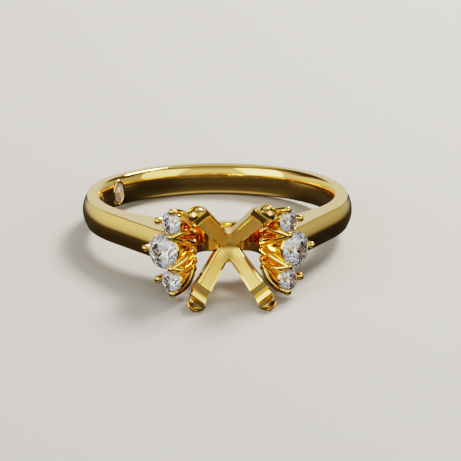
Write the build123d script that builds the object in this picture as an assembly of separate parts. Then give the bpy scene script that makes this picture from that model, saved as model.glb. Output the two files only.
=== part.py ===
from build123d import *
import math
import os

# A gold ring setting for one large stone, lying on its side. Lengths are in mm, angles in
# degrees. The ring is drawn flat first: the finger axis is Z, the head points along -Y and
# the right-hand shoulder is at +X. The last step lays it down as it rests by itself.

# Finger hole and band
finger_diameter = 17.3
band_thickness = 1.0
band_width = 2.3
bridge_thickness = 1.0
comfort_round = 0.4
edge_round = 0.1
dome_rise = 0.3              # the band's outside is a low dome
dome_root = 0.25             # how deep the dome's strip sits in the band

# Cathedral shoulders: the outer edge leaves the band's circle, bends and then runs straight
shoulder_start_angle = 110.0
shoulder_line_angle = 60.0
shoulder_bend_radius = 11.4
shoulder_hollow_share = 0.12
bridge_half_angle = 8.0

# Head: four flat claws that cross under the stone and stand up at its corners
cross_height = 4.0           # from the finger hole up to the flat top of the crossing
claw_spread = 52.3           # angle of a claw from the X axis, seen from above the stone
claw_width = 1.2
claw_depth = 1.35
claw_slope = 35.8
claw_step = 0.16             # the narrow ledge each side of a claw's flat top
claw_post_reach = 4.2        # from the head's axis to the middle of the rounded tip
claw_post_height = 7.56      # from the finger hole to the middle of the rounded tip
claw_post_radius = 0.59
claw_post_lean = 18.3
stone_seat_lip = 3.1         # from the head's axis to the end of a claw's flat top
stone_seat_drop = 0.26
stone_seat_reach = 3.7       # and to the back of the notch
stone_seat_roof = 6.85
stone_seat_undercut = 0.1
deep_crotch_round = 0.35
side_crotch_round = 0.12
peg_radius = 0.75

# Side clusters, one each side of the head
cluster_reach = 4.82         # the middle stone's girdle, sideways from the head's axis
cluster_height = 5.07        # and up from the finger hole
cluster_tilt = 41.5
middle_diameter = 2.6
small_diameter = 1.74
small_inward = 0.65          # how far the small stones lie towards the head
small_spacing = 2.17         # from the middle stone along the finger axis
small_drop = 0.1
basket_depth = 2.35
basket_base_thickness = 0.45
shoulder_seat_depth = 1.35
stem_radius = 0.21
bead_radius = 0.28
rail_depth = 0.9
rail_radius = 0.16
rail_reach = 0.2             # how far the rail runs outside a small stone

# Beads and stems of a cluster: shifts towards the head, shares of the small stones' spacing
bead_gap = 0.05
end_bead_shift = 0.2
end_foot_shift = 0.1
joint_bead_shift = 0.17
joint_bead_share = 0.54
joint_foot_shift = 0.15
joint_foot_share = 0.23
base_share = 0.67

# Walls under a cluster's stones
middle_wall_inset = 0.15
middle_foot_shift = 0.25
middle_foot_share = 0.5
small_wall_inset = 0.1
small_foot_shift = 0.36
small_foot_share = 0.45
small_foot_size = 0.6

# Cut stones: shares of the diameter, as on a round brilliant
table_share = 0.57
crown_share = 0.15
girdle_share = 0.03
pavilion_share = 0.42
stone_clearance = 0.04

# The pointed stone set inside the band
inside_length = 1.6
inside_width = 1.2
inside_angle = 125.0         # round the hole from the head, to the left
inside_table_share = 0.6
inside_crown = 0.12
inside_girdle = 0.05
inside_pavilion = 0.5
inside_sink = 0.1
inside_rim_width = 0.18
inside_rim_rise = 0.06
inside_tip_growth = 1.2      # a margin grows more at the stone's two points

# Values worked out from the sizes above
finger_radius = finger_diameter / 2
band_radius = finger_radius + band_thickness
bridge_radius = finger_radius + bridge_thickness
middle_radius = middle_diameter / 2
small_radius = small_diameter / 2
claw_slope_rate = math.tan(math.radians(claw_slope))
claw_turns = (claw_spread, 180 - claw_spread, 180 + claw_spread, -claw_spread)
# In the head's plane X is sideways, Y along the finger axis and Z up from the finger hole
head_plane = Plane(origin=(0, -finger_radius, 0), x_dir=(1, 0, 0), z_dir=(0, -1, 0))
outward = Vector(math.cos(math.radians(cluster_tilt)), math.sin(math.radians(cluster_tilt)), 0)
table_normal = Vector(math.sin(math.radians(cluster_tilt)), -math.cos(math.radians(cluster_tilt)), 0)
cluster_centre = Vector(cluster_reach, -finger_radius - cluster_height, 0)
# In the cluster's plane X runs away from the head, Y along the finger axis and Z out of the table
cluster_plane = Plane(origin=cluster_centre, x_dir=outward, z_dir=table_normal)


def round_the_hole(radius, angle):
    """A point at an angle from the head, positive to the right."""
    turn = math.radians(angle)
    return Vector(radius * math.sin(turn), -radius * math.cos(turn), 0)


def meet(start, direction, plane_point, plane_normal):
    """Where a straight line passes through a plane."""
    travel = (plane_point - start).dot(plane_normal) / direction.dot(plane_normal)
    return start + direction * travel


def across(point):
    return Vector(-point.X, point.Y, point.Z)


def fused(pieces):
    return pieces[0] + pieces[1:]


def shoulder_bend():
    """Start, middle and end of the right-hand shoulder's outer bend."""
    start = round_the_hole(band_radius, shoulder_start_angle)
    centre = round_the_hole(band_radius - shoulder_bend_radius, shoulder_start_angle)
    middle_angle = (shoulder_start_angle + shoulder_line_angle) / 2
    middle = centre + round_the_hole(shoulder_bend_radius, middle_angle)
    end = centre + round_the_hole(shoulder_bend_radius, shoulder_line_angle)
    return start, middle, end


def band_outline():
    """The ring's outer outline with both shoulders, seen along the finger axis."""
    start, middle, end = shoulder_bend()
    run = -round_the_hole(1, shoulder_line_angle + 90)
    seat_point = cluster_centre - table_normal * shoulder_seat_depth
    seat_outer = meet(end, run, seat_point, table_normal)
    seat_inner = seat_point - outward * small_inward
    foot = round_the_hole(bridge_radius, bridge_half_angle)
    base_inner = cluster_centre - table_normal * basket_depth - outward * (small_inward + stem_radius)
    hollow = (base_inner + foot) * 0.5 + (base_inner - foot).cross(Vector(0, 0, 1)) * shoulder_hollow_share
    lines = [
        ThreePointArc(start, round_the_hole(band_radius, 180), across(start)),
        ThreePointArc(foot, round_the_hole(bridge_radius, 0), across(foot)),
    ]
    for side in (lambda point: point, across):
        lines += [
            ThreePointArc(side(start), side(middle), side(end)),
            Line(side(end), side(seat_outer)),
            Line(side(seat_outer), side(seat_inner)),
            Line(side(seat_inner), side(base_inner)),
            ThreePointArc(side(base_inner), side(hollow), side(foot)),
        ]
    return make_face(lines)


def outer_dome():
    """The low dome along the outside, from one cluster round the back to the other."""
    start, middle, end = shoulder_bend()
    run = -round_the_hole(1, shoulder_line_angle + 90)
    seat_point = cluster_centre - table_normal * shoulder_seat_depth
    seat_outer = meet(end, run, seat_point, table_normal) + run * 2 * dome_rise
    path = Wire([
        Line(seat_outer, end),
        ThreePointArc(end, middle, start),
        ThreePointArc(start, round_the_hole(band_radius, 180), across(start)),
        ThreePointArc(across(start), across(middle), across(end)),
        Line(across(end), across(seat_outer)),
    ])
    half = band_width / 2 - edge_round
    section = make_face([
        ThreePointArc((-half, 0), (0, dome_rise), (half, 0)),
        Polyline((half, 0), (half, -dome_root), (-half, -dome_root), (-half, 0)),
    ])
    place = Plane(origin=seat_outer, x_dir=(0, 0, 1), z_dir=end - seat_outer)
    outside = round_the_hole(1, shoulder_line_angle)
    if place.y_dir.dot(outside) < 0:
        place = Plane(origin=seat_outer, x_dir=(0, 0, -1), z_dir=end - seat_outer)
    dome = sweep(place * section, path)
    beyond = Pos(0, 0, finger_radius - shoulder_seat_depth) * Box(*[2 * finger_radius] * 3)
    return dome - cluster_plane * beyond - mirror(cluster_plane * beyond, Plane.YZ)


def band():
    """The band, its bridge under the head and the solid shoulders."""
    outline = band_outline() - Circle(finger_radius)
    body = extrude(outline, band_width / 2, both=True)
    hole_edges = body.edges().filter_by(GeomType.CIRCLE).filter_by(
        lambda edge: abs(edge.radius - finger_radius) < 0.001 and abs(edge.arc_center.X) < 0.001
        and abs(edge.arc_center.Y) < 0.001)
    body = fillet(hole_edges, comfort_round)
    seat_line = shoulder_bend()[2].Y
    rim_edges = body.edges().filter_by(GeomType.CIRCLE).filter_by(
        lambda edge: abs(abs(edge.center().Z) - band_width / 2) < 0.001 and edge.radius > band_radius - 0.001
        and edge.center().Y > seat_line)
    return fillet(rim_edges, edge_round) + outer_dome()


def claw_knee():
    """Where a leaning post meets the middle of its sloping bar."""
    lean = math.tan(math.radians(claw_post_lean))
    start = cross_height - claw_depth / 2
    level = start + claw_slope_rate * (claw_post_reach - claw_post_height * lean)
    height = level / (1 - claw_slope_rate * lean)
    return Vector(claw_post_reach - (claw_post_height - height) * lean, 0, height)


def cross_plan(width):
    """The four claws seen from above the stone, rounded where they meet."""
    bar = Rectangle(2 * claw_knee().X, width)
    plan = Rot(0, 0, claw_spread) * bar + Rot(0, 0, -claw_spread) * bar
    inner = plan.vertices().filter_by(lambda corner: Vector(corner).length < 2 * claw_width)
    deep = inner.filter_by(lambda corner: abs(corner.X) < 0.001)
    plan = fillet(deep, deep_crotch_round)
    side = plan.vertices().filter_by(lambda corner: abs(corner.Y) < 0.001 and abs(corner.X) < 2 * claw_width)
    return fillet(side, side_crotch_round)


def claw_bars(width, drop):
    """The sloping bars of all four claws, their flat tops lowered by a drop."""
    rise = claw_post_reach * claw_slope_rate
    profile = Plane.XZ * make_face(Polyline(
        (0, cross_height - drop),
        (claw_post_reach, cross_height + rise - drop),
        (claw_post_reach, cross_height + rise - claw_depth),
        (0, cross_height - claw_depth),
        close=True))
    slab = extrude(profile, 1.5 * claw_width, both=True)
    slabs = [Rot(0, 0, turn) * slab for turn in claw_turns]
    return fused(slabs) & extrude(cross_plan(width), claw_post_height)


def claw_post():
    """The leaning end of a claw: a round post with both ends rounded."""
    knee = claw_knee()
    axis = Vector(claw_post_reach, 0, claw_post_height) - knee
    side = claw_post_radius * math.sqrt(0.5)
    outline = make_face([
        Line((0, -claw_post_radius), (0, axis.length + claw_post_radius)),
        ThreePointArc((0, -claw_post_radius), (side, -side), (claw_post_radius, 0)),
        Line((claw_post_radius, 0), (claw_post_radius, axis.length)),
        ThreePointArc((claw_post_radius, axis.length), (side, axis.length + side),
                      (0, axis.length + claw_post_radius)),
    ])
    post = revolve(Plane.XZ * outline, Axis.Z)
    return Plane(origin=knee, x_dir=(0, 1, 0), z_dir=axis) * post


def claw_notch():
    """The cut in a post that the large stone's edge sits in, with the leaning face above it."""
    floor = cross_height + stone_seat_lip * claw_slope_rate - stone_seat_drop
    face_start = stone_seat_reach - stone_seat_undercut
    top = claw_post_height + 2 * claw_post_radius
    lean = (top - stone_seat_roof) * math.tan(math.radians(claw_post_lean))
    notch = Plane.XZ * make_face(Polyline(
        (stone_seat_lip, floor),
        (stone_seat_reach, floor),
        (stone_seat_reach, stone_seat_roof),
        (face_start, stone_seat_roof),
        (face_start + lean, top),
        (stone_seat_lip, top),
        close=True))
    return extrude(notch, claw_width, both=True)


def head():
    """Four claws that cross under the stone, and the peg that carries them on the bridge."""
    body = claw_bars(claw_width, claw_step) + claw_bars(claw_width - 2 * claw_step, 0)
    body = body + [Rot(0, 0, turn) * claw_post() for turn in claw_turns]
    body = body - [Rot(0, 0, turn) * claw_notch() for turn in claw_turns]
    return head_plane * (body + peg())


def peg():
    """A round peg, hidden behind the crossing, from the bridge up into the claws."""
    low = bridge_thickness / 2
    high = cross_height - claw_depth / 2
    return Pos(0, 0, (low + high) / 2) * Cylinder(peg_radius, high - low)


def cluster_points(side):
    """Places of a small stone's beads and stems on one side, along the finger axis."""
    small_y = side * small_spacing
    outer_x = -small_inward + small_radius + bead_radius
    joint_x = -small_inward - joint_bead_shift
    joint_y = side * small_spacing * joint_bead_share
    return {
        "small": Vector(-small_inward, small_y, -small_drop),
        "outer bead": Vector(outer_x + bead_gap, small_y, -small_drop),
        "outer rail": Vector(outer_x - stem_radius, small_y, -rail_depth),
        "outer foot": Vector(outer_x, side * (band_width / 2 - stem_radius), -shoulder_seat_depth - stem_radius),
        "end bead": Vector(-small_inward - end_bead_shift, small_y + side * small_radius, 0),
        "end rail": Vector(-small_inward - end_bead_shift, small_y + side * small_radius, -rail_depth),
        "end foot": Vector(-small_inward - end_foot_shift, side * small_spacing * base_share, -basket_depth),
        "joint bead": Vector(joint_x, joint_y, small_drop),
        "joint rail": Vector(joint_x, joint_y, -rail_depth),
        "joint foot": Vector(-small_inward - joint_foot_shift, side * small_spacing * joint_foot_share,
                             -basket_depth),
    }


def bead_and_stem(bead, rail, foot):
    """A claw of the basket: a stem that turns in at the rail, with a round bead on top."""
    levels = [Plane(origin=point, z_dir=(0, 0, 1)) * Circle(stem_radius) for point in (foot, rail, bead)]
    return [loft(levels, ruled=True), Pos(bead) * Sphere(bead_radius)]


def cup(top, top_radius, waist_depth, foot, foot_radius):
    """The wall under a stone: straight to the waist and then drawn in to the base."""
    waist = Vector(top.X, top.Y, -waist_depth)
    rows = ((foot, foot_radius), (waist, top_radius), (top, top_radius))
    return loft([Plane(origin=point, z_dir=(0, 0, 1)) * Circle(radius) for point, radius in rows], ruled=True)


def gallery_rail(places):
    """The wire that runs round the outside of a small stone's basket."""
    level = Vector(places["small"].X, places["small"].Y, -rail_depth)
    return Pos(level) * Torus(small_radius + rail_reach - rail_radius, rail_radius)


def basket():
    """The right-hand basket in its own plane, before the stone seats are cut."""
    base_reach = small_inward + stem_radius
    base = Box(base_reach + stem_radius, 2 * small_spacing * base_share, basket_base_thickness)
    pieces = [Pos((stem_radius - base_reach) / 2, 0, -basket_depth) * base]
    pieces.append(cup(Vector(0, 0, -middle_wall_inset), middle_radius - middle_wall_inset,
                      shoulder_seat_depth, Vector(-middle_foot_shift, 0, -basket_depth),
                      middle_radius * middle_foot_share))
    outer = middle_radius + bead_radius + bead_gap
    pieces += bead_and_stem(
        Vector(outer, 0, 0),
        Vector(outer - stem_radius, 0, -rail_depth),
        Vector(outer - 2 * stem_radius, 0, -shoulder_seat_depth - stem_radius))
    for side in (1, -1):
        places = cluster_points(side)
        foot = Vector(-small_foot_shift, side * small_spacing * small_foot_share, -basket_depth)
        pieces.append(cup(places["small"] - Vector(0, 0, small_wall_inset), small_radius - small_wall_inset,
                          rail_depth, foot, small_radius * small_foot_size))
        pieces.append(gallery_rail(places))
        for name in ("outer", "end", "joint"):
            pieces += bead_and_stem(places[name + " bead"], places[name + " rail"], places[name + " foot"])
    return fused(pieces)


def stone_room(diameter):
    """The space that a round stone needs, with its clearance all round."""
    radius = diameter / 2
    gap = stone_clearance
    half_girdle = diameter * girdle_share / 2
    crown_top = half_girdle + diameter * crown_share
    culet = half_girdle + diameter * pavilion_share
    profile = Polyline(
        (0, 0, crown_top + gap),
        (radius * table_share + gap, 0, crown_top + gap),
        (radius + gap, 0, half_girdle + gap / 2),
        (radius + gap, 0, -half_girdle - gap / 2),
        (0, 0, -culet - 1.5 * gap),
        close=True)
    return revolve(make_face(profile), Axis.Z)


def solid_from(faces):
    corners = [make_face(Polyline(*points, close=True)).face() for points in faces]
    return Solid(Shell(corners))


def brilliant(diameter):
    """A round brilliant: table, stars, kites, upper halves, girdle, lower halves and mains."""
    radius = diameter / 2
    half_girdle = diameter * girdle_share / 2
    crown = diameter * crown_share
    pavilion = diameter * pavilion_share
    step = math.radians(22.5)
    table_radius = radius * table_share
    star_radius = (table_radius * math.cos(step) + radius) / 2
    star_height = crown * (radius - star_radius * math.cos(step)) / (radius - table_radius)
    lower_radius = radius * 0.22
    lower_height = pavilion * (1 - lower_radius * math.cos(step) / radius)

    def ring(count, size, height, start):
        turns = [start + 2 * math.pi * index / count for index in range(count)]
        return [Vector(size * math.cos(turn), size * math.sin(turn), height) for turn in turns]

    table = ring(8, table_radius, half_girdle + crown, 0)
    stars = ring(8, star_radius, half_girdle + star_height, step)
    upper = ring(16, radius, half_girdle, 0)
    lower = ring(16, radius, -half_girdle, 0)
    halves = ring(8, lower_radius, -half_girdle - lower_height, step)
    culet = Vector(0, 0, -half_girdle - pavilion)
    faces = [table]
    for index in range(8):
        here = 2 * index
        after = (index + 1) % 8
        faces += [
            [table[index], stars[index], table[after]],
            [table[index], stars[index - 1], upper[here], stars[index]],
            [stars[index], upper[here], upper[here + 1]],
            [stars[index], upper[here + 1], upper[(here + 2) % 16]],
            [culet, halves[index - 1], lower[here], halves[index]],
            [halves[index], lower[here], lower[here + 1]],
            [halves[index], lower[here + 1], lower[(here + 2) % 16]],
        ]
    for index in range(16):
        after = (index + 1) % 16
        faces.append([upper[index], upper[after], lower[after], lower[index]])
    return solid_from(faces)


def pointed_outline(length, width):
    """Eight corners of a boat-shaped outline, its points along X."""
    half_length = length / 2
    half_width = width / 2
    arc_radius = (half_length ** 2 + half_width ** 2) / (2 * half_width)
    corners = []
    for share in (-1, -0.55, 0, 0.55, 1, 0.55, 0, -0.55):
        along = share * half_length
        bulge = math.sqrt(arc_radius ** 2 - along ** 2) - (arc_radius - half_width)
        side = 1 if len(corners) < 4 else -1
        corners.append((along, side * max(bulge, 0)))
    return corners


def pointed_stone():
    """The boat-shaped stone: a table, eight crown facets and eight pavilion facets."""
    outline = pointed_outline(inside_length, inside_width)
    table = [Vector(x * inside_table_share, y * inside_table_share, inside_crown) for x, y in outline]
    upper = [Vector(x, y, 0) for x, y in outline]
    lower = [Vector(x, y, -inside_girdle) for x, y in outline]
    culet = Vector(0, 0, -inside_girdle - inside_pavilion)
    faces = [table]
    for index in range(8):
        after = (index + 1) % 8
        faces += [
            [table[index], table[after], upper[after], upper[index]],
            [upper[index], upper[after], lower[after], lower[index]],
            [lower[index], lower[after], culet],
        ]
    return solid_from(faces)


def pointed_face(extra):
    """The boat-shaped outline grown by a margin, as a face."""
    outline = pointed_outline(inside_length + 2 * inside_tip_growth * extra, inside_width + 2 * extra)
    return make_face(Polyline(*outline, close=True))


def inside_plane():
    """On the hole's wall: X along the finger axis, Z towards the middle of the hole."""
    wall = round_the_hole(finger_radius, -inside_angle)
    return Plane(origin=wall, x_dir=(0, 0, 1), z_dir=-wall)


def inside_rim():
    """A low rim round the pointed stone."""
    deep = inside_sink + inside_girdle
    return Pos(0, 0, -deep) * extrude(pointed_face(inside_rim_width), deep + inside_rim_rise)


def inside_room():
    """The pocket for the pointed stone."""
    gap = stone_clearance
    girdle = -inside_sink
    straight = extrude(pointed_face(gap), inside_rim_rise + inside_sink + inside_girdle + 2 * gap)
    cone = loft([
        Pos(0, 0, girdle - inside_girdle - gap) * pointed_face(gap),
        Pos(0, 0, girdle - inside_girdle - inside_pavilion - 2 * gap) * Rectangle(0.1, 0.1),
    ], ruled=True)
    return Pos(0, 0, girdle - inside_girdle - gap) * straight + cone


def stone_places():
    """Where each round stone of the right-hand cluster sits, in the cluster's plane."""
    return {
        "middle": (Vector(0, 0, 0), middle_diameter),
        "upper": (Vector(-small_inward, small_spacing, -small_drop), small_diameter),
        "lower": (Vector(-small_inward, -small_spacing, -small_drop), small_diameter),
    }


def mounting():
    """All the gold, as one soldered piece."""
    side = cluster_plane * basket()
    rooms = [cluster_plane * (Pos(place) * stone_room(size)) for place, size in stone_places().values()]
    body = band() + head() + side + mirror(side, Plane.YZ) + inside_plane() * inside_rim()
    for room in rooms:
        body = body - room - mirror(room, Plane.YZ)
    body = body - inside_plane() * inside_room()
    return body - Cylinder(finger_radius - 2 * inside_sink, 3 * claw_post_height)


def rest_tilt():
    """The slope of the floor under the drawn ring: it touches two claw tips and the band's back."""
    tip = (-finger_radius - claw_post_height, -claw_post_reach * math.sin(math.radians(claw_spread)))
    back = (band_radius - edge_round, edge_round - band_width / 2)
    run = back[0] - tip[0]
    rise = back[1] - tip[1]
    slope = math.atan2(rise, run) - math.asin((edge_round - claw_post_radius) / math.hypot(run, rise))
    return math.degrees(slope)


def write(shape, name):
    """Lay a finished piece down as the ring rests, and save it."""
    laid = Rot(-rest_tilt(), 0, 0) * shape
    laid.label = name
    export_step(laid, os.path.join("parts", name + ".step"))
    print(name, round(laid.volume, 3))


os.makedirs("parts", exist_ok=True)
print("rest tilt", round(rest_tilt(), 3))
write(mounting(), "mounting")
for level, (place, size) in stone_places().items():
    stone = cluster_plane * (Pos(place) * brilliant(size))
    write(stone, "stone_right_" + level)
    write(mirror(stone, Plane.YZ), "stone_left_" + level)
write(inside_plane() * (Pos(0, 0, -inside_sink) * pointed_stone()), "stone_inside")
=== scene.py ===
import math
import bmesh
import bpy
from mathutils import Matrix, Vector


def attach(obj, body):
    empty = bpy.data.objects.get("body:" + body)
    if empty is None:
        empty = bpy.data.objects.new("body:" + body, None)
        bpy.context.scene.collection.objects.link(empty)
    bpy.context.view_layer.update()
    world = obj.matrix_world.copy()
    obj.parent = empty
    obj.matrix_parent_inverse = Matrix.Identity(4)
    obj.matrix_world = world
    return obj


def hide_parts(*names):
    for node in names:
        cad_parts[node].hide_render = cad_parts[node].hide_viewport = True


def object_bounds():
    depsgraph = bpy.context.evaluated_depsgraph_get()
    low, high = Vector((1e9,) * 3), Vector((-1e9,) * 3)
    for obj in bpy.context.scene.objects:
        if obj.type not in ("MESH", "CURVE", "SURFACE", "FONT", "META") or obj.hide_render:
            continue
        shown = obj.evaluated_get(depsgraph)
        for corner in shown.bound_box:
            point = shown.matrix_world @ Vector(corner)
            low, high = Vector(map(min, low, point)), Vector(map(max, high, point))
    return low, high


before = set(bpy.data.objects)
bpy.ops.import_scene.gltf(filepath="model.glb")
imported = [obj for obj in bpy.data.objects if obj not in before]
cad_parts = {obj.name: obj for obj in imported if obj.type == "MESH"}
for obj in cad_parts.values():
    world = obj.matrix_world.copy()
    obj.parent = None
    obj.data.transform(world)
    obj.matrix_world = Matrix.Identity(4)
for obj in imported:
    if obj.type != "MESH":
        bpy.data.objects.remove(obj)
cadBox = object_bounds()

# The ring is modelled in millimetres as it was drawn: the finger axis is Z, the head points along -Y.
# The last step of each piece lays it down as the ring rests, and turns millimetres into metres.
mm = 0.001
restTilt = 6.129  # degrees between the finger hole's axis and the upright
laidDown = Matrix.Rotation(math.radians(-restTilt), 4, "X")
ringToScene = laidDown @ Matrix.Scale(mm, 4)

# Radii of the finger hole and of the band's outside, which other pieces start from
holeRadius = 8.65
bandRadius = 9.65

mergeGap = 0.0005  # corners nearer than this are one corner
sliverGap = 0.004  # and where bevels meet in a point, nearer than this
edgeAngle = 40  # degrees: an edge that turns by more is rounded off
flatShadingWeight = 80  # how much more a big face counts than a small one


def hexColour(text):
    # the sRGB curve, undone
    channels = [int(text[place:place + 2], 16) / 255 for place in (0, 2, 4)]
    linear = [c / 12.92 if c <= 0.04045 else ((c + 0.055) / 1.055) ** 2.4 for c in channels]
    return (*linear, 1.0)


def addNode(tree, kind, values=None, settings=None, links=None):
    node = tree.nodes.new(kind)
    for name, setting in (settings or {}).items():
        setattr(node, name, setting)
    for name, value in (values or {}).items():
        node.inputs[name].default_value = value
    for name, socket in (links or {}).items():
        tree.links.new(socket, node.inputs[name])
    return node


def emptyMaterial(name):
    material = bpy.data.materials.new(name)
    material.use_nodes = True
    material.node_tree.nodes.clear()
    return material, material.node_tree


def closeMaterial(tree, shader):
    addNode(tree, "ShaderNodeOutputMaterial", links={"Surface": shader.outputs[0]})


def noiseScale(featureMm):
    # how many noise cells fit in a metre when one is this many millimetres
    return 1000 / featureMm


# 14 k yellow gold, cast and then polished on a felt wheel: a mirror with the faintest haze
# and hair-fine wheel lines, warmer where it reflects itself
goldFinish = {
    "colour": "FFDA8D",
    "hazeMm": 1.3,
    "hazeRoughness": (0.07, 0.13),
    "lineMm": 0.07,  # real wheel lines are a hundredth of this, too fine to show
    "lineStretch": 0.12,
    "lineDepthMm": 0.0006,
    "waveMm": 2.2,
    "waveDepthMm": 0.006,
    "bumpStrength": 0.5,
}


def makeGold(name, look):
    material, tree = emptyMaterial(name)
    place = addNode(tree, "ShaderNodeTexCoord")
    haze = addNode(tree, "ShaderNodeTexNoise",
                   {"Scale": noiseScale(look["hazeMm"]), "Detail": 4.0, "Roughness": 0.55},
                   links={"Vector": place.outputs["Object"]})
    low, high = look["hazeRoughness"]
    roughness = addNode(tree, "ShaderNodeMapRange",
                        {"From Min": 0.3, "From Max": 0.7, "To Min": low, "To Max": high},
                        links={"Value": haze.outputs["Fac"]})
    stretched = addNode(tree, "ShaderNodeMapping", {"Scale": (1.0, look["lineStretch"], 1.0)},
                        links={"Vector": place.outputs["Object"]})
    lines = addNode(tree, "ShaderNodeTexNoise",
                    {"Scale": noiseScale(look["lineMm"]), "Detail": 2.0},
                    links={"Vector": stretched.outputs["Vector"]})
    wave = addNode(tree, "ShaderNodeTexNoise", {"Scale": noiseScale(look["waveMm"]), "Detail": 1.0},
                   links={"Vector": place.outputs["Object"]})
    softBump = addNode(tree, "ShaderNodeBump",
                       {"Strength": look["bumpStrength"], "Distance": look["waveDepthMm"] * mm},
                       links={"Height": wave.outputs["Fac"]})
    fineBump = addNode(tree, "ShaderNodeBump",
                       {"Strength": look["bumpStrength"], "Distance": look["lineDepthMm"] * mm},
                       links={"Height": lines.outputs["Fac"], "Normal": softBump.outputs["Normal"]})
    shader = addNode(tree, "ShaderNodeBsdfPrincipled",
                     {"Base Color": hexColour(look["colour"]), "Metallic": 1.0},
                     links={"Roughness": roughness.outputs["Result"],
                            "Normal": fineBump.outputs["Normal"]})
    closeMaterial(tree, shader)
    return material


# The claws' flat tops come from the casting and a light tumble: the same gold, softer in its mirror
satinFinish = dict(goldFinish, hazeRoughness=(0.37, 0.43))


# Colourless diamond, cut and polished: strong refraction and flat facets with hard edges. The share that
# isn't clear is matt white, a painted brightness standing in for the light that its many inner
# reflections send back as white
diamondFinish = {"colours": ("FFFFFF", "E9EEF8"), "ior": 2.417, "clear": 0.96, "cloudMm": 0.35}


def makeDiamond(name, look):
    material, tree = emptyMaterial(name)
    place = addNode(tree, "ShaderNodeTexCoord")
    cloud = addNode(tree, "ShaderNodeTexNoise", {"Scale": noiseScale(look["cloudMm"]), "Detail": 2.0},
                    links={"Vector": place.outputs["Object"]})
    bright, dim = look["colours"]
    # a colour mix: input 0 is the share, 6 and 7 are the colours and output 2 is the mixed colour
    tint = addNode(tree, "ShaderNodeMix", {6: hexColour(bright), 7: hexColour(dim)},
                   {"data_type": "RGBA"}, {0: cloud.outputs["Fac"]})
    shader = addNode(tree, "ShaderNodeBsdfPrincipled",
                     # what isn't clear scatters the base colour as matt white: painted brightness in
                     # place of the stone's inner reflections
                     {"Roughness": 0.0, "IOR": look["ior"], "Transmission Weight": look["clear"]},
                     links={"Base Color": tint.outputs[2]})
    closeMaterial(tree, shader)
    return material


# The pointed stone is closed off behind by the band, which leaves it dull, so more of it is painted matt
# white: a painted brightness
insideDiamondPaintedWhiter = dict(diamondFinish, clear=0.72)


def softenNormals(piece):
    # big flat faces keep their own direction, so only the rounded edges between them shade
    weighted = piece.modifiers.new("steadyShading", "WEIGHTED_NORMAL")
    weighted.keep_sharp = True
    weighted.weight = flatShadingWeight


def finishPiece(bm, name, material, sharpAngle, node="mounting"):
    bmesh.ops.remove_doubles(bm, verts=bm.verts, dist=mergeGap)
    bmesh.ops.recalc_face_normals(bm, faces=bm.faces)
    bmesh.ops.transform(bm, matrix=ringToScene, verts=bm.verts)
    mesh = bpy.data.meshes.new(name)
    bm.to_mesh(mesh)
    bm.free()
    mesh.shade_smooth()
    mesh.set_sharp_from_angle(angle=math.radians(sharpAngle))
    mesh.materials.append(material)
    piece = bpy.data.objects.new(name, mesh)
    bpy.context.scene.collection.objects.link(piece)
    softenNormals(piece)
    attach(piece, "root")
    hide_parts(node)
    print("made", name, len(mesh.polygons), "faces")


def roundTheHole(reach, angle):
    # a point round the finger hole, its angle from the head and positive to the right
    turn = math.radians(angle)
    return Vector((reach * math.sin(turn), -reach * math.cos(turn), 0))


# The two side clusters lean outwards. In a cluster's own frame X runs away from the head,
# Y along the finger axis and Z out of the stones' tables.
cluster = {
    "reach": 4.82, "height": 5.07, "tilt": 41.5,
    "middleRadius": 1.3, "smallRadius": 0.87,
    "inward": 0.65, "spacing": 2.17, "drop": 0.1,
    "seatDepth": 1.35, "baseDepth": 2.35,
}
lean = math.radians(cluster["tilt"])
clusterOut = Vector((math.cos(lean), math.sin(lean), 0))
tableNormal = Vector((math.sin(lean), -math.cos(lean), 0))
clusterCentre = Vector((cluster["reach"], -holeRadius - cluster["height"], 0))
clusterFrame = Matrix((
    (clusterOut.x, 0, tableNormal.x, clusterCentre.x),
    (clusterOut.y, 0, tableNormal.y, clusterCentre.y),
    (0, 1, 0, 0),
    (0, 0, 0, 1),
))

# Band: a section with a rounded finger side and a low dome outside, spun round the hole,
# whose outside then follows the cathedral shoulders
band = {
    "halfWidth": 1.15, "shoulderHalfWidth": 1.09,
    "innerRound": 0.4, "innerSegments": 12, "comfortHeight": 0.98,
    "edgeRound": 0.09, "edgeSegments": 4,
    "domeRise": 0.3, "domeCuts": 11,
    "bendStart": 110.0, "lineAngle": 60.0, "bendRadius": 11.4,
    "bridgeAngle": 6.5, "archEndAngle": 18.0, "seatAngle": 21.0, "shoulderAngle": 27.0,
    "archControl": (2.55, -9.44), "baseInward": 0.85, "taperFrom": 120.0, "taperTo": 60.0,
    "bridgeSteps": 6, "archSteps": 20, "baseSteps": 2, "seatSteps": 5,
    "shoulderSteps": 16, "bendSteps": 24, "backSteps": 36,
    "flatTolerance": 0.0002, "flatAngle": 0.02,
}


def archPoint(start, control, end, share):
    first = start.lerp(control, share)
    second = control.lerp(end, share)
    return first.lerp(second, share)


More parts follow.
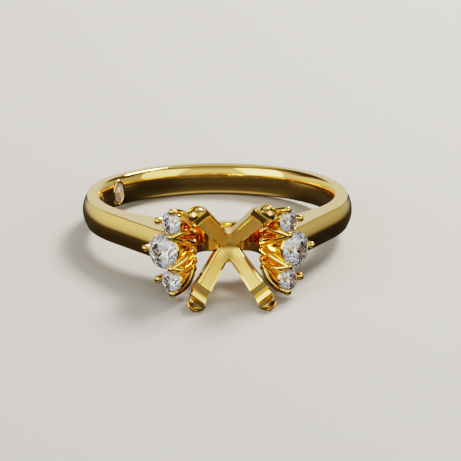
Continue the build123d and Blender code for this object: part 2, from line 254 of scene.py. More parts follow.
def bandStations():
    # each station is an angle round the hole, a point on the outline, the outline's outward
    # direction there and how much of the outer dome it has
    bendCentre = roundTheHole(bandRadius - band["bendRadius"], band["bendStart"])
    lineOut = roundTheHole(1, band["lineAngle"])
    lineEnd = bendCentre + lineOut * band["bendRadius"]
    run = roundTheHole(-1, band["lineAngle"] + 90)
    seatPoint = clusterCentre - tableNormal * cluster["seatDepth"]
    travel = (seatPoint - lineEnd).dot(tableNormal) / run.dot(tableNormal)
    seatOuter = lineEnd + run * travel
    seatInner = seatPoint - clusterOut * cluster["inward"]
    baseInner = clusterCentre - tableNormal * cluster["baseDepth"] - clusterOut * band["baseInward"]
    foot = roundTheHole(bandRadius, band["bridgeAngle"])
    control = Vector((*band["archControl"], 0))
    stations = []
    for step in range(band["bridgeSteps"]):
        angle = band["bridgeAngle"] * step / band["bridgeSteps"]
        stations.append((angle, roundTheHole(bandRadius, angle), roundTheHole(1, angle), 0.0))
    for step in range(band["archSteps"]):
        share = step / band["archSteps"]
        angle = band["bridgeAngle"] + (band["archEndAngle"] - band["bridgeAngle"]) * share
        point = archPoint(foot, control, baseInner, share)
        run = (control - foot).lerp(baseInner - control, share)
        stations.append((angle, point, Vector((run.y, -run.x, 0)).normalized(), 0.0))
    # the arch ends in a sharp corner inside the basket, where the rounding is mitred
    run = baseInner - control
    archOut = Vector((run.y, -run.x, 0)).normalized()
    mitre = (archOut + tableNormal) / (1 + archOut.dot(tableNormal))
    for start, end, first, last, steps in (
        (baseInner, seatInner, band["archEndAngle"], band["seatAngle"], band["baseSteps"]),
        (seatInner, seatOuter, band["seatAngle"], band["shoulderAngle"], band["seatSteps"]),
    ):
        for step in range(steps):
            share = step / steps
            out = mitre if start is baseInner and step == 0 else tableNormal
            stations.append((first + (last - first) * share, start.lerp(end, share), out, 0.0))
    first = band["shoulderAngle"]
    last = math.degrees(math.atan2(lineEnd.x, -lineEnd.y))
    for step in range(band["shoulderSteps"]):
        share = step / band["shoulderSteps"]
        stations.append((first + (last - first) * share, seatOuter.lerp(lineEnd, share), lineOut, 1.0))
    bend = math.radians(band["bendStart"] - band["lineAngle"])
    for step in range(band["bendSteps"]):
        share = step / band["bendSteps"]
        out = roundTheHole(1, band["lineAngle"] + math.degrees(bend) * share)
        point = bendCentre + out * band["bendRadius"]
        angle = math.degrees(math.atan2(point.x, -point.y))
        stations.append((angle, point, out, 1.0))
    for step in range(band["backSteps"] + 1):
        angle = band["bendStart"] + (180 - band["bendStart"]) * step / band["backSteps"]
        stations.append((angle, roundTheHole(bandRadius, angle), roundTheHole(1, angle), 1.0))
    return stations


def bandSection(bm):
    # a rectangle standing on the hole's wall, its corners rounded and its outside domed
    half = band["halfWidth"]
    corners = [bm.verts.new((0, -reach, level)) for reach, level in (
        (holeRadius, -half), (bandRadius, -half), (bandRadius, half), (holeRadius, half))]
    bm.faces.new(corners)
    inner = [corners[0], corners[3]]
    outer = [corners[1], corners[2]]
    bmesh.ops.bevel(bm, geom=inner, offset=band["innerRound"], offset_type="OFFSET",
                    segments=band["innerSegments"], profile=0.5, affect="VERTICES", material=-1)
    # the finger side is rounded over nearly its whole height, for comfort
    stretch = band["comfortHeight"] / band["innerRound"]
    for corner in bm.verts:
        if corner.co.y > -holeRadius - band["innerRound"] - mergeGap:
            level = half - (half - abs(corner.co.z)) * stretch
            corner.co.z = math.copysign(level, corner.co.z)
    bmesh.ops.bevel(bm, geom=outer, offset=band["edgeRound"], offset_type="OFFSET",
                    segments=band["edgeSegments"], profile=0.5, affect="VERTICES", material=-1)
    topEdge = [edge for edge in bm.edges
               if all(abs(corner.co.y + bandRadius) < mergeGap for corner in edge.verts)]
    bmesh.ops.subdivide_edges(bm, edges=topEdge, cuts=band["domeCuts"])
    flat = half - band["edgeRound"]
    for corner in bm.verts:
        if abs(corner.co.y + bandRadius) < mergeGap:
            corner.co.y -= band["domeRise"] * (1 - (corner.co.z / flat) ** 2)
    bmesh.ops.delete(bm, geom=list(bm.faces), context="FACES_ONLY")
    return list(bm.edges)


def makeBand(material):
    bm = bmesh.new()
    section = bandSection(bm)
    stations = bandStations()
    steps = len(stations) - 1
    bmesh.ops.spin(bm, geom=section, cent=(0, 0, 0), axis=(0, 0, 1),
                   angle=math.pi, steps=steps, use_merge=False, use_duplicate=False)
    stretchFrom = holeRadius + band["innerRound"] + mergeGap
    for corner in bm.verts:
        reach = math.hypot(corner.co.x, corner.co.y)
        turn = abs(math.degrees(math.atan2(corner.co.x, -corner.co.y)))
        angle, point, out, dome = stations[min(steps, max(0, round(turn * steps / 180)))]
        taper = (band["taperFrom"] - angle) / (band["taperFrom"] - band["taperTo"])
        taper = min(1.0, max(0.0, taper))
        width = band["halfWidth"] + (band["shoulderHalfWidth"] - band["halfWidth"]) * taper
        level = corner.co.z * width / band["halfWidth"]
        if reach < stretchFrom:
            place = roundTheHole(reach, angle)
        else:
            rise = reach - bandRadius
            place = point + out * (rise * dome if rise > 0 else rise)
        corner.co = (place.x, place.y, level)
    bmesh.ops.mirror(bm, geom=list(bm.verts) + list(bm.edges) + list(bm.faces),
                     matrix=Matrix.Identity(4), merge_dist=mergeGap, axis="X")
    bmesh.ops.remove_doubles(bm, verts=bm.verts, dist=mergeGap)
    # each flat side of the shoulders becomes one face, so that it shades as flat
    flats = [edge for edge in bm.edges if edge.calc_face_angle(1) < math.radians(band["flatAngle"])
             and all(abs(abs(corner.co.z) - band["shoulderHalfWidth"]) < band["flatTolerance"]
                     for corner in edge.verts)]
    bmesh.ops.dissolve_edges(bm, edges=flats)
    finishPiece(bm, "band", material, sharpAngle=30)


# Head: four claws that cross under the missing stone. In the head's own frame X is sideways,
# Y along the finger axis and Z up from the finger hole.
headFrame = Matrix((
    (1, 0, 0, 0),
    (0, 0, -1, -holeRadius),
    (0, 1, 0, 0),
    (0, 0, 0, 1),
))
claw = {
    "spread": 52.3, "slope": 41.4, "crossHeight": 3.5, "blendMm": 0.42,
    "flatHalf": 0.4, "bodyHalf": (0.53, 0.63), "endRound": 0.32, "depth": 1.35, "ledge": 0.12,
    "deepRound": 0.3, "sideRound": 0.1, "arcSteps": 8, "armSteps": 14, "gridSteps": 14,
    "lip": 3.1, "lipStep": 0.01, "lipRoom": 0.12, "notchDrop": 0.26, "notchClimb": 0.08,
    "flatDepth": 0.3, "flatRound": 0.05, "bodyRound": 0.13,
    "tipReach": 4.2, "tipHeight": 7.58, "tipCurl": 0.2, "curlFrom": 6.4,
    "tipFaceLean": 35.0, "tipFaceOut": 0.22, "tipWall": 3.93, "tipOverlap": 0.3,
    "postRadius": 0.6, "postWidth": 1.08, "postLean": 18.3,
    "blockInner": (3.66, 6.78), "blockOuter": (4.12, 7.2), "grooveRound": 0.05,
}


def clawDirections():
    spread = math.radians(claw["spread"])
    return [Vector((math.cos(spread) * across, math.sin(spread) * along, 0))
            for across, along in ((1, 1), (-1, 1), (-1, -1), (1, -1))]


def clawRise(place):
    # how far the flat tops have climbed: each claw's slope, melted together near the crossing
    sharpness = 1 / claw["blendMm"]
    flat = Vector((place.x, place.y, 0))
    total = sum(math.exp(sharpness * flat.dot(way)) for way in clawDirections())
    return math.log(total) / sharpness * math.tan(math.radians(claw["slope"]))


def clawEdges(halfWidth):
    # the two sides of one claw seen from above, as matching points from the crotches outwards:
    # a quarter of the deep crotch's round on one side, of the side crotch's on the other
    spread = math.radians(claw["spread"])
    along = Vector((math.cos(spread), math.sin(spread), 0))
    leftOut = Vector((-math.sin(spread), math.cos(spread), 0))
    deepCentre = Vector((0, (halfWidth + claw["deepRound"]) / math.cos(spread), 0))
    sideCentre = Vector(((halfWidth + claw["sideRound"]) / math.sin(spread), 0, 0))
    left = []
    right = []
    for step in range(claw["arcSteps"] + 1):
        share = step / claw["arcSteps"]
        # from straight towards the crossing, round to square on the claw's side
        deepWay = Vector((0, -1, 0)).slerp(-leftOut, share)
        sideWay = Vector((-1, 0, 0)).slerp(leftOut, share)
        left.append(deepCentre + deepWay * claw["deepRound"])
        right.append(sideCentre + sideWay * claw["sideRound"])
    start = max(left[-1].dot(along), right[-1].dot(along))
    return left, right, start, along, leftOut


def clawSheet(bm, halfNear, halfFar, reach, lipAt=None):
    # the four flat tops as one sheet: a diamond of squares at the crossing, and a strip
    # grown outwards from each of its sides
    left, right, start, along, leftOut = clawEdges(halfNear)
    steps = claw["gridSteps"]
    bmesh.ops.create_grid(bm, x_segments=steps, y_segments=steps, size=1.0)
    across = right[0].x / 2
    deep = left[0].y / 2
    diamond = Matrix(((across, -across, 0, 0), (deep, deep, 0, 0), (0, 0, 1, 0), (0, 0, 0, 1)))
    bmesh.ops.transform(bm, matrix=diamond, verts=bm.verts)
    rows = list(zip(left, right))[1:]
    armSteps = claw["armSteps"]
    lipStep = claw["lipStep"]
    lengths = [start + (reach - start) * (step + 1) / armSteps for step in range(armSteps)]
    if lipAt:
        lengths = [length for length in lengths if abs(length - lipAt) > claw["lipRoom"]]
        lengths = sorted(lengths + [lipAt - lipStep, lipAt + lipStep])
    for length in [start + lipStep] + lengths:
        half = halfNear + (halfFar - halfNear) * (length - start) / (reach - start)
        rows.append((along * length + leftOut * half, along * length - leftOut * half))
    rims = [edge for edge in bm.edges if edge.is_boundary]
    for mirrorX, mirrorY in ((1, 1), (-1, 1), (-1, -1), (1, -1)):
        row = [edge for edge in rims
               if all(corner.co.x * mirrorX > -mergeGap and corner.co.y * mirrorY > -mergeGap
                      for corner in edge.verts)]
        was = (left[0], right[0])
        flip = Vector((mirrorX, mirrorY, 1))
        for ends in rows:
            grown = bmesh.ops.extrude_edge_only(bm, edges=row)["geom"]
            corners = [item for item in grown if isinstance(item, bmesh.types.BMVert)]
            row = [item for item in grown if isinstance(item, bmesh.types.BMEdge)
                   and all(corner in corners for corner in item.verts)]
            fromLeft = was[0] * flip
            span = (was[1] * flip - fromLeft).length
            for corner in corners:
                share = (corner.co - fromLeft).length / span
                corner.co = ends[0].lerp(ends[1], share) * flip
            was = ends
    bmesh.ops.remove_doubles(bm, verts=bm.verts, dist=mergeGap)


def roundEdges(bm, offset):
    bmesh.ops.recalc_face_normals(bm, faces=bm.faces)
    rims = [edge for edge in bm.edges if len(edge.link_faces) == 2
            and edge.calc_face_angle(0) > math.radians(edgeAngle)]
    bmesh.ops.bevel(bm, geom=rims, offset=offset, offset_type="OFFSET", segments=3, profile=0.5,
                    affect="EDGES", material=-1, clamp_overlap=True)


def clawLayer(name, material, halfNear, halfFar, reach, drop, bottom, edgeRound, lipAt=None):
    # one sheet made a slab: its top climbs with the claws, its back follows at a fixed depth
    slope = math.tan(math.radians(claw["slope"]))
    floorLevel = claw["crossHeight"] + claw["lip"] * slope - claw["notchDrop"]
    bm = bmesh.new()
    clawSheet(bm, halfNear, halfFar, reach, lipAt)
    grown = bmesh.ops.extrude_face_region(bm, geom=list(bm.faces))["geom"]
    lower = {item for item in grown if isinstance(item, bmesh.types.BMVert)}
    for corner in bm.verts:
        rise = clawRise(corner.co)
        along = max(corner.co.dot(way) for way in clawDirections())
        if corner in lower:
            corner.co.z = claw["crossHeight"] - bottom + rise
        else:
            corner.co.z = claw["crossHeight"] - drop + rise
            if lipAt and along > lipAt:
                corner.co.z = min(corner.co.z, floorLevel + (along - lipAt) * claw["notchClimb"])
    if lipAt:
        # a bar's end is rounded off so that it runs into its post
        ends = [edge for edge in bm.edges if any(corner in lower for corner in edge.verts) and all(
            max(corner.co.dot(way) for way in clawDirections()) > reach - mergeGap
            for corner in edge.verts) and edge.calc_face_angle(0) > math.radians(edgeAngle)]
        bmesh.ops.bevel(bm, geom=ends, offset=claw["endRound"], offset_type="OFFSET", segments=5,
                        profile=0.5, affect="EDGES", material=-1, clamp_overlap=True)
    roundEdges(bm, edgeRound)
    # bevels that meet in a point leave slivers, which close up here
    bmesh.ops.remove_doubles(bm, verts=bm.verts, dist=sliverGap)
    bmesh.ops.transform(bm, matrix=headFrame, verts=bm.verts)
    finishPiece(bm, name, material, sharpAngle=30)


def makeClaws(material, satin):
    clawLayer("clawFlats", satin, claw["flatHalf"], claw["flatHalf"], claw["lip"], 0.0,
              claw["ledge"] + claw["flatDepth"], claw["flatRound"])
    near, far = claw["bodyHalf"]
    clawLayer("clawBodies", material, near, far, clawKnee().x, claw["ledge"], claw["depth"],
              claw["bodyRound"], claw["lip"])


def clawKnee():
    # where a leaning post meets the middle of its sloping bar
    slope = math.tan(math.radians(claw["slope"]))
    leaning = math.tan(math.radians(claw["postLean"]))
    start = claw["crossHeight"] - claw["depth"] / 2
    level = start + slope * (claw["tipReach"] - claw["tipHeight"] * leaning)
    height = level / (1 - slope * leaning)
    return Vector((claw["tipReach"] - (claw["tipHeight"] - height) * leaning, 0, height))


def capsule(bm, low, high, radius, sides=48, rings=10):
    # a round post with both ends rounded, standing between two points
    axis = high - low
    reach = axis.length
    quarter = math.pi / 2 / rings
    outline = [(radius * math.sin(step * quarter), -radius * math.cos(step * quarter))
               for step in range(rings + 1)]
    outline += [(out, reach - level) for out, level in reversed(outline)]
    corners = [bm.verts.new((out, 0, level)) for out, level in outline]
    edges = [bm.edges.new(pair) for pair in zip(corners, corners[1:])]
    bmesh.ops.spin(bm, geom=corners + edges, cent=(0, 0, 0), axis=(0, 0, 1), angle=2 * math.pi,
                   steps=sides, use_merge=True, use_duplicate=False)
    bmesh.ops.remove_doubles(bm, verts=bm.verts, dist=mergeGap)
    turn = axis.to_track_quat("Z", "X").to_matrix().to_4x4()
    bmesh.ops.transform(bm, matrix=Matrix.Translation(low) @ turn, verts=bm.verts)


def cutAway(bm, point, outward):
    # everything on the outward side of a plane goes, and the cut is closed
    cut = bmesh.ops.bisect_plane(bm, geom=list(bm.verts) + list(bm.edges) + list(bm.faces),
                                 plane_co=point, plane_no=outward, clear_outer=True)
    edges = [item for item in cut["geom_cut"] if isinstance(item, bmesh.types.BMEdge)]
    bmesh.ops.holes_fill(bm, edges=edges, sides=0)


def curlTip(bm):
    # the tip bends in over the stone's edge, more towards its end
    reach = claw["tipHeight"] + claw["postRadius"] - claw["curlFrom"]
    for corner in bm.verts:
        share = max(0.0, corner.co.z - claw["curlFrom"]) / reach
        corner.co.x -= claw["tipCurl"] * share ** 2


def makePosts(material):
    # each post in two parts: a block with a sloping seat, and the tip that stands up outside it
    knee = clawKnee()
    tip = Vector((claw["tipReach"], 0, claw["tipHeight"]))
    inner = Vector((claw["blockInner"][0], 0, claw["blockInner"][1]))
    outer = Vector((claw["blockOuter"][0], 0, claw["blockOuter"][1]))
    seatUp = (outer - inner).cross(Vector((0, -1, 0))).normalized()
    if seatUp.z < 0:
        seatUp = -seatUp
    leaning = math.radians(claw["tipFaceLean"])
    inwards = Vector((-math.cos(leaning), 0, math.sin(leaning)))
    curled = tip - Vector((claw["tipCurl"] / 2, 0, 0))
    whole = bmesh.new()
    for isTip in (True, False):
        bm = bmesh.new()
        capsule(bm, knee, tip, claw["postRadius"])
        if isTip:
            curlTip(bm)
            cutAway(bm, curled + inwards * claw["tipFaceOut"], inwards)
            cutAway(bm, Vector((claw["tipWall"], 0, 0)), Vector((-1, 0, 0)))
            cutAway(bm, outer - seatUp * claw["tipOverlap"], -seatUp)
        else:
            cutAway(bm, inner, seatUp)
            cutAway(bm, Vector((inner.x, 0, 0)), Vector((-1, 0, 0)))
        roundEdges(bm, claw["grooveRound"])
        bmesh.ops.scale(bm, vec=(1, claw["postWidth"], 1), verts=bm.verts)
        part = bpy.data.meshes.new("postPart")
        bm.to_mesh(part)
        bm.free()
        for way in clawDirections():
            turn = Matrix.Rotation(math.atan2(way.y, way.x), 4, "Z")
            part.transform(turn)
            whole.from_mesh(part)
            part.transform(turn.inverted())
        bpy.data.meshes.remove(part)
    bmesh.ops.transform(whole, matrix=headFrame, verts=whole.verts)
    finishPiece(whole, "clawPosts", material, sharpAngle=40)


# Stem: the slab between the bridge and the crossing of the claws, whose top just shows in the
# upper crotch
stem = {"width": 0.92, "height": 1.76, "from": 0.7, "to": 2.95, "round": 0.12}


def makeStem(material):
    bm = bmesh.new()
    bmesh.ops.create_cube(bm, size=1.0)
    size = (stem["width"], stem["height"], stem["to"] - stem["from"])
    bmesh.ops.scale(bm, vec=size, verts=bm.verts)
    bmesh.ops.bevel(bm, geom=list(bm.edges), offset=stem["round"], offset_type="OFFSET", segments=4,
                    profile=0.5, affect="EDGES", material=-1)
    bmesh.ops.translate(bm, verts=bm.verts, vec=(0, 0, (stem["from"] + stem["to"]) / 2))
    bmesh.ops.transform(bm, matrix=headFrame, verts=bm.verts)
    finishPiece(bm, "bridgeStem", material, sharpAngle=40)


# Basket under a cluster: bowls that draw in to a base bar, thick ribs with beads over their joints
# and a round knob where each rib meets the base
basket = {
    "beadRadius": 0.28, "beadGap": 0.05, "beadSquash": 0.9,
    "endShift": 0.2, "jointShift": 0.17, "jointShare": 0.54,
    "ribRadius": (0.27, 0.33), "endRibRadius": (0.24, 0.3), "knobRadius": 0.37,
    # where a rib bends, and where its knob is on the base
    "endRib": ((-1.15, 2.85, -1.7), (-0.8, 1.6)),
    "sideRib": ((-1.4, 1.7, -1.2), (-0.86, 1.0)),
    "middleRib": ((-1.2, 0.6, -1.3), (-0.88, 0.28)),
    # the ribs on the outside go down into the shoulder: how far in, how far along and how deep
    "outerBend": -0.9, "smallOuterFoot": (0.7, 1.75, -1.75), "middleOuterFoot": (0.6, 0.0, -1.75),
    "cupTop": -0.14, "wall": 0.1, "fullness": 2.0, "pavilionShare": 0.86,
    "cupInset": 0.03, "cupLip": 0.05, "cupHole": 0.02, "cupFloor": 0.15, "cupHollow": 0.75,
    "cupSteps": (0.12, 0.25, 0.4, 0.55, 0.7, 0.85, 1.0),
    "smallFoot": (-0.42, 1.2), "smallFootRadius": 0.46,
    "middleFoot": (-0.35, 0.0), "middleFootRadius": 0.5,
    "baseHalf": 1.66, "baseThickness": 0.42, "baseInner": 0.92, "baseOuter": 0.28, "baseRound": 0.2,
}


def spinProfile(bm, profile, sides=56):
    # a closed outline of (radius, level) points, spun into a ring of metal
    corners = [bm.verts.new((out, 0, level)) for out, level in profile]
    edges = [bm.edges.new(pair) for pair in zip(corners, corners[1:] + corners[:1])]
    bmesh.ops.spin(bm, geom=corners + edges, cent=(0, 0, 0), axis=(0, 0, 1), angle=2 * math.pi,
                   steps=sides, use_merge=True, use_duplicate=False)


def tube(bm, points, radii, sides=18):
    # a round rib through a few points, its radius changing on the way
    way = (points[1] - points[0]).normalized()
    ring = bmesh.ops.create_circle(bm, cap_ends=True, segments=sides, radius=radii[0])["verts"]
    turn = way.to_track_quat("Z", "X").to_matrix().to_4x4()
    bmesh.ops.transform(bm, matrix=Matrix.Translation(points[0]) @ turn, verts=ring)
    edges = list({edge for corner in ring for edge in corner.link_edges
                  if edge.other_vert(corner) in ring})
    for index in range(1, len(points)):
        grown = bmesh.ops.extrude_edge_only(bm, edges=edges)["geom"]
        corners = [item for item in grown if isinstance(item, bmesh.types.BMVert)]
        edges = [item for item in grown if isinstance(item, bmesh.types.BMEdge)
                 and all(corner in corners for corner in item.verts)]
        last = points[index - 1]
        here = points[index]
        newWay = (here - last).normalized()
        if index + 1 < len(points):
            newWay = (newWay + (points[index + 1] - here).normalized()).normalized()
        bend = way.rotation_difference(newWay).to_matrix().to_4x4()
        grow = Matrix.Scale(radii[index] / radii[index - 1], 4)
        move = Matrix.Translation(here) @ bend @ grow @ Matrix.Translation(-last)
        bmesh.ops.transform(bm, matrix=move, verts=corners)
        way = newWay
    bmesh.ops.holes_fill(bm, edges=edges, sides=0)


def bead(bm, place):
    # pressed a little flat over the stone's edge
    squash = Matrix.Diagonal((1, 1, basket["beadSquash"], 1))
    bmesh.ops.create_uvsphere(bm, u_segments=32, v_segments=20, radius=basket["beadRadius"],
                              matrix=Matrix.Translation(place) @ squash)


def rib(bm, top, middle, foot, radii=basket["ribRadius"], count=14):
    first, last = radii
    shares = [step / (count - 1) for step in range(count)]
    points = [archPoint(top, middle, foot, share) for share in shares]
    tube(bm, points, [first + (last - first) * share for share in shares])


def outerRib(bm, top, foot, side):
    inwards, along, level = foot
    bend = Vector((top.x, top.y, basket["outerBend"]))
    rib(bm, top, bend, Vector((top.x - inwards, side * along, level)))


def cup(bm, place, stoneRadius, foot, footRadius):
    # a bowl under one stone, leaning from the stone's edge to its foot on the base
    depth = cluster["baseDepth"]
    top = basket["cupTop"]
    pavilion = stoneRadius * basket["pavilionShare"]
    edge = stoneRadius - basket["cupInset"]
    cavity = edge - basket["wall"]
    outline = [(cavity, top), (edge - basket["wall"] / 2, top + basket["cupLip"]), (edge, top)]
    for share in basket["cupSteps"]:
        full = 1 - share ** basket["fullness"]
        outline.append((footRadius + (edge - footRadius) * full, top + (-depth - top) * share))
    hole = basket["cupHole"]
    outline += [(hole, -depth), (hole, top - pavilion - basket["cupFloor"]),
                (cavity / 2, top - pavilion * basket["cupHollow"])]
    part = bmesh.new()
    spinProfile(part, outline)
    for corner in part.verts:
        share = min(1.0, max(0.0, (corner.co.z - top) / (-depth - top)))
        corner.co += place.lerp(foot, share ** basket["fullness"])
    joinInto(bm, part)


def joinInto(bm, part):
    bmesh.ops.remove_doubles(part, verts=part.verts, dist=mergeGap)
    holder = bpy.data.meshes.new("holder")
    part.to_mesh(holder)
    part.free()
    bm.from_mesh(holder)
    bpy.data.meshes.remove(holder)


def knob(bm, place):
    bmesh.ops.create_uvsphere(bm, u_segments=28, v_segments=16, radius=basket["knobRadius"],
                              matrix=Matrix.Translation(place))


def basketHalf(bm, side):
    # the small stone's basket on one side of the middle stone
    inward = cluster["inward"]
    small = cluster["smallRadius"]
    level = side * cluster["spacing"]
    depth = cluster["baseDepth"]
    footX, footY = basket["smallFoot"]
    cup(bm, Vector((-inward, level, -cluster["drop"])), small, Vector((footX, side * footY, 0)),
        basket["smallFootRadius"])
    joint = Vector((-inward - basket["jointShift"], level * basket["jointShare"], cluster["drop"]))
    end = Vector((-inward - basket["endShift"], level + side * small, 0))
    outer = Vector((-inward + small + basket["beadRadius"] + basket["beadGap"], level, -cluster["drop"]))
    for place in (joint, end, outer):
        bead(bm, place)
    for top, place, radii in (
        (end, "endRib", basket["endRibRadius"]),
        (joint, "sideRib", basket["ribRadius"]),
        (joint, "middleRib", basket["ribRadius"]),
    ):
        bend, foot = basket[place]
        knobPlace = Vector((foot[0], side * foot[1], -depth))
        rib(bm, top, Vector((bend[0], side * bend[1], bend[2])), knobPlace, radii)
        knob(bm, knobPlace)
    outerRib(bm, outer, basket["smallOuterFoot"], side)


def makeBaskets(material):
    bm = bmesh.new()
    foot = Vector((*basket["middleFoot"], 0))
    cup(bm, Vector((0, 0, 0)), cluster["middleRadius"], foot, basket["middleFootRadius"])
    outer = Vector((cluster["middleRadius"] + basket["beadRadius"] + basket["beadGap"], 0, 0))
    bead(bm, outer)
    outerRib(bm, outer, basket["middleOuterFoot"], 1)
    for side in (1, -1):
        basketHalf(bm, side)
    base = bmesh.new()
    bmesh.ops.create_cube(base, size=1.0)
    width = basket["baseInner"] + basket["baseOuter"]
    bmesh.ops.scale(base, vec=(width, basket["baseHalf"] * 2, basket["baseThickness"]), verts=base.verts)
    bmesh.ops.bevel(base, geom=list(base.edges), offset=basket["baseRound"], offset_type="OFFSET",
                    segments=5, profile=0.5, affect="EDGES", material=-1)
    shift = (basket["baseOuter"] - basket["baseInner"]) / 2
    bmesh.ops.translate(base, verts=base.verts, vec=(shift, 0, -cluster["baseDepth"]))
    joinInto(bm, base)
    bmesh.ops.transform(bm, matrix=clusterFrame, verts=bm.verts)
    bmesh.ops.mirror(bm, geom=list(bm.verts) + list(bm.edges) + list(bm.faces),
                     matrix=Matrix.Identity(4), merge_dist=0.0, axis="X")
    finishPiece(bm, "clusterBaskets", material, sharpAngle=50)


# The pointed stone inside the band and the rim round it
insideStone = {
    "angle": -125.0, "length": 1.58, "width": 1.16, "sides": 16,
    # rings of corners from the table down: share of the outline, level, and half a step round or not
    "rings": ((0.5, 0.24, 0), (0.8, 0.15, 1), (1.0, 0.02, 0), (1.0, -0.03, 0), (0.55, -0.32, 1)),
    "keel": (0.3, -0.5), "facetAngle": 1.0,
}
insideRim = {"gap": 0.015, "wall": 0.24, "rise": 0.07, "depth": 0.3, "round": 0.08}


def squeezeToBoat(bm, length, width):
    # a round outline of radius 1 becomes two arcs that meet in points: what lies outside it
    # keeps its distance from the arcs, and what lies inside shrinks towards the middle
    arc = (length ** 2 + width ** 2) / (4 * width)
    middle = arc - width / 2
    for point in bm.verts:
        size = math.hypot(point.co.x, point.co.y)
        turn = math.atan2(point.co.y, point.co.x)
        reach = arc + max(size - 1, 0)
        along = math.cos(turn) * math.sqrt(reach ** 2 - middle ** 2)
        bulge = math.sqrt(reach ** 2 - along ** 2) - middle
        share = min(size, 1)
        point.co.x = along * share
        point.co.y = math.copysign(bulge * share, point.co.y)


def placeInside(bm):
    # X along the finger axis, Z into the finger hole
    wallPoint = roundTheHole(holeRadius, insideStone["angle"])
    inwards = -wallPoint.normalized()
    along = Vector((0, 0, 1))
    sideways = inwards.cross(along)
    place = Matrix((
        (along.x, sideways.x, inwards.x, wallPoint.x),
        (along.y, sideways.y, inwards.y, wallPoint.y),
        (along.z, sideways.z, inwards.z, wallPoint.z),
        (0, 0, 0, 1),
    ))
    bmesh.ops.transform(bm, matrix=place, verts=bm.verts)


def makeInsideStone(material):
    bm = bmesh.new()
    sides = insideStone["sides"]
    for share, level, halfStep in insideStone["rings"]:
        turn = Matrix.Rotation(math.pi / sides * halfStep, 4, "Z")
        bmesh.ops.create_circle(bm, segments=sides, radius=share,
                                matrix=Matrix.Translation((0, 0, level)) @ turn)
    squeezeToBoat(bm, insideStone["length"], insideStone["width"])
    keelHalf, keelLevel = insideStone["keel"]
    for end in (-1, 1):
        bm.verts.new((keelHalf * end, 0, keelLevel))
    hull = bmesh.ops.convex_hull(bm, input=bm.verts)
    spare = {item for item in hull["geom_interior"] + hull["geom_unused"]
             if isinstance(item, bmesh.types.BMVert)}
    bmesh.ops.delete(bm, geom=list(spare), context="VERTS")
    facetAngle = insideStone["facetAngle"]
    bmesh.ops.dissolve_limit(bm, angle_limit=math.radians(facetAngle), verts=bm.verts, edges=bm.edges)
    placeInside(bm)
    finishPiece(bm, "insideDiamond", material, facetAngle, "stone_inside")


def makeInsideRim(material):
    bm = bmesh.new()
    low = -insideRim["depth"]
    high = insideRim["rise"]
    wall = insideRim["wall"]
    corner = insideRim["round"]
    spinProfile(bm, [
        (1 + wall, low), (1 + wall, high - corner), (1 + wall - corner, high),
        (1 + corner, high), (1.0, high - corner), (1.0, low),
    ], sides=64)
    gap = insideRim["gap"] * 2
    squeezeToBoat(bm, insideStone["length"] + gap, insideStone["width"] + gap)
    placeInside(bm)
    finishPiece(bm, "insideRim", material, sharpAngle=50)


cameraView = {
    "elevation": 13.67, "azimuth": -3.96, "roll": -0.13,
    "distance": 400.0, "target": (0.495, -7.694, 0.0), "lens": 424.8, "sensor": 36.0,
    "clip": (0.01, 10.0),  # metres
}


def makeCamera():
    camera = bpy.data.objects.new("camera", bpy.data.cameras.new("camera"))
    camera.data.lens = cameraView["lens"]
    camera.data.sensor_width = cameraView["sensor"]
    camera.data.clip_start, camera.data.clip_end = cameraView["clip"]
    turn = Matrix.Rotation(math.radians(cameraView["azimuth"]), 4, "Z") \
        @ Matrix.Rotation(math.radians(90 - cameraView["elevation"]), 4, "X") \
        @ Matrix.Rotation(math.radians(cameraView["roll"]), 4, "Z")
    back = turn.to_3x3() @ Vector((0, 0, 1))
    place = (Vector(cameraView["target"]) + back * cameraView["distance"]) * mm
    camera.matrix_world = laidDown @ Matrix.Translation(place) @ turn
    bpy.context.scene.collection.objects.link(camera)
    bpy.context.scene.camera = camera


# Softboxes round the ring, in millimetres: a key behind on the right that throws the shadow forwards,
# one overhead, and two in front for the claws' faces
lightsAim = (0, -6, 0)
lights = {
    "key": {"place": (120, 120, 190), "size": (90, 90), "radiance": 20.0, "colour": "FFFAF2"},
    "overhead": {"place": (0, 90, 300), "size": (260, 260), "radiance": 0.38, "colour": "FFFFFF"},
    "frontLeft": {"place": (-180, -130, 120), "size": (200, 190), "radiance": 1.1, "colour": "FFFFFF"},
    "frontRight": {"place": (185, -120, 115), "size": (200, 190), "radiance": 0.7, "colour": "FFFFFF"},
}
# What the polished gold mirrors between the softboxes. Each level is a height, from -1 straight down
# to 1 straight up, and a grey; the room behind the ring fades into the room in front of it.
surroundings = {
    "behind": ((-1.0, 0.05), (-0.5, 0.05), (-0.25, 0.08), (-0.11, 0.46), (0.1, 0.62), (0.28, 0.68),
               (0.36, 0.2), (0.45, 0.08), (0.8, 0.08), (1.0, 0.16)),
    "inFront": ((-1.0, 0.12), (-0.86, 0.44), (-0.7, 0.12), (-0.25, 0.07), (-0.06, 0.1), (0.1, 0.55),
                (0.45, 0.7), (0.75, 0.3), (1.0, 0.16)),
    "fade": (-0.25, 0.3),
    "rightFrom": (0.25, 0.85), "rightDim": 0.62, "tint": (1.0, 0.985, 0.955),
}


def makeLights():
    for name, look in lights.items():
        lamp = bpy.data.lights.new(name, "AREA")
        lamp.shape = "RECTANGLE"
        lamp.size = look["size"][0] * mm
        lamp.size_y = look["size"][1] * mm
        lamp.energy = look["radiance"] * math.pi * lamp.size * lamp.size_y
        lamp.color = hexColour(look["colour"])[:3]
        holder = bpy.data.objects.new(name, lamp)
        place = Vector(look["place"]) * mm
        aim = (Vector(lightsAim) * mm - place).to_track_quat("-Z", "Y").to_matrix().to_4x4()
        holder.matrix_world = Matrix.Translation(place) @ aim
        bpy.context.scene.collection.objects.link(holder)
    makeWorld()


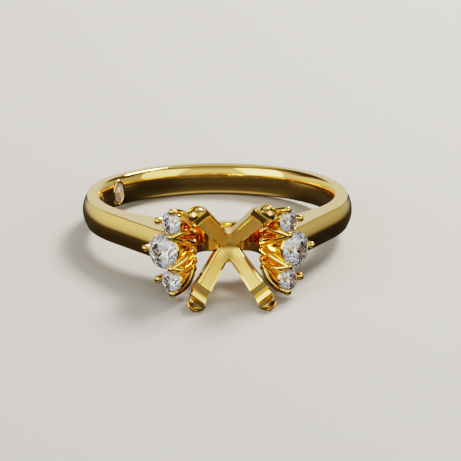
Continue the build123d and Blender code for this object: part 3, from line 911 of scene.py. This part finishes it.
def makeWorld():
    world = bpy.data.worlds.new("studio")
    world.use_nodes = True
    world.node_tree.nodes.clear()
    tree = world.node_tree
    direction = addNode(tree, "ShaderNodeTexCoord")
    split = addNode(tree, "ShaderNodeSeparateXYZ", links={"Vector": direction.outputs["Generated"]})
    upShare = addNode(tree, "ShaderNodeMapRange", {"From Min": -1.0, "From Max": 1.0},
                      links={"Value": split.outputs["Z"]})
    start, end = surroundings["fade"]
    behindShare = addNode(tree, "ShaderNodeMapRange", {"From Min": start, "From Max": end},
                          {"interpolation_type": "SMOOTHSTEP"}, {"Value": split.outputs["Y"]})
    rooms = []
    for side in ("inFront", "behind"):
        ramp = addNode(tree, "ShaderNodeValToRGB", links={"Fac": upShare.outputs["Result"]})
        levels = surroundings[side]
        stops = ramp.color_ramp.elements
        while len(stops) < len(levels):
            stops.new(0.5)
        for stop, (height, grey) in zip(stops, levels):
            stop.position = (height + 1) / 2
            stop.color = (*(grey * share for share in surroundings["tint"]), 1)
        rooms.append(ramp.outputs["Color"])
    room = addNode(tree, "ShaderNodeMix", settings={"data_type": "RGBA"},
                   links={0: behindShare.outputs["Result"], 6: rooms[0], 7: rooms[1]})
    start, end = surroundings["rightFrom"]
    dimming = addNode(tree, "ShaderNodeMapRange",
                      {"From Min": start, "From Max": end,
                       "To Min": 1.0, "To Max": surroundings["rightDim"]},
                      {"interpolation_type": "SMOOTHSTEP"}, {"Value": split.outputs["X"]})
    background = addNode(tree, "ShaderNodeBackground",
                         links={"Color": room.outputs[2], "Strength": dimming.outputs["Result"]})
    addNode(tree, "ShaderNodeOutputWorld", links={"Surface": background.outputs[0]})
    bpy.context.scene.world = world


# Pale matt card with a faint paper grain. The gold doesn't mirror it: the ring's undersides stay
# as dark as on a dark ground.
card = {"colour": "D9D6D1", "roughness": 0.7, "grainMm": 0.6, "grainDepthMm": 0.02,
        "grainStrength": 0.15, "half": 0.6}


def makeFloor():
    material, tree = emptyMaterial("paleCard")
    place = addNode(tree, "ShaderNodeTexCoord")
    grain = addNode(tree, "ShaderNodeTexNoise", {"Scale": noiseScale(card["grainMm"]), "Detail": 3.0},
                    links={"Vector": place.outputs["Object"]})
    bump = addNode(tree, "ShaderNodeBump",
                   {"Strength": card["grainStrength"], "Distance": card["grainDepthMm"] * mm},
                   links={"Height": grain.outputs["Fac"]})
    shader = addNode(tree, "ShaderNodeBsdfPrincipled",
                     {"Base Color": hexColour(card["colour"]), "Roughness": card["roughness"]},
                     links={"Normal": bump.outputs["Normal"]})
    closeMaterial(tree, shader)
    bm = bmesh.new()
    bmesh.ops.create_grid(bm, x_segments=1, y_segments=1, size=card["half"],
                          matrix=Matrix.Translation((0, 0, cadBox[0].z)))
    mesh = bpy.data.meshes.new("floor")
    bm.to_mesh(mesh)
    bm.free()
    mesh.materials.append(material)
    floor = bpy.data.objects.new("floor", mesh)
    bpy.context.scene.collection.objects.link(floor)
    floor.visible_glossy = False


makeCamera()
makeLights()
makeFloor()
print("camera, lights and floor are in")
gold = makeGold("polished14kGold", goldFinish)
satinGold = makeGold("tumbled14kGold", satinFinish)
# both diamonds carry a painted matt white brightness, the pointed one in the band more of it
diamond = makeDiamond("cutDiamond", diamondFinish)
insideDiamond = makeDiamond("cutDiamondInBand", insideDiamondPaintedWhiter)
for name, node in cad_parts.items():
    if name.startswith("stone_") and name != "stone_inside":
        for holder in node.material_slots:
            holder.material = diamond
makeBand(gold)
makeClaws(gold, satinGold)
makePosts(gold)
makeStem(gold)
makeBaskets(gold)
makeInsideRim(gold)
makeInsideStone(insideDiamond)
paths = bpy.context.scene.cycles
paths.max_bounces = 16
paths.glossy_bounces = 10
paths.transmission_bounces = 16
bpy.context.scene.view_settings.view_transform = "Filmic"
bpy.context.scene.view_settings.look = "Very High Contrast"
print("dressed the ring")
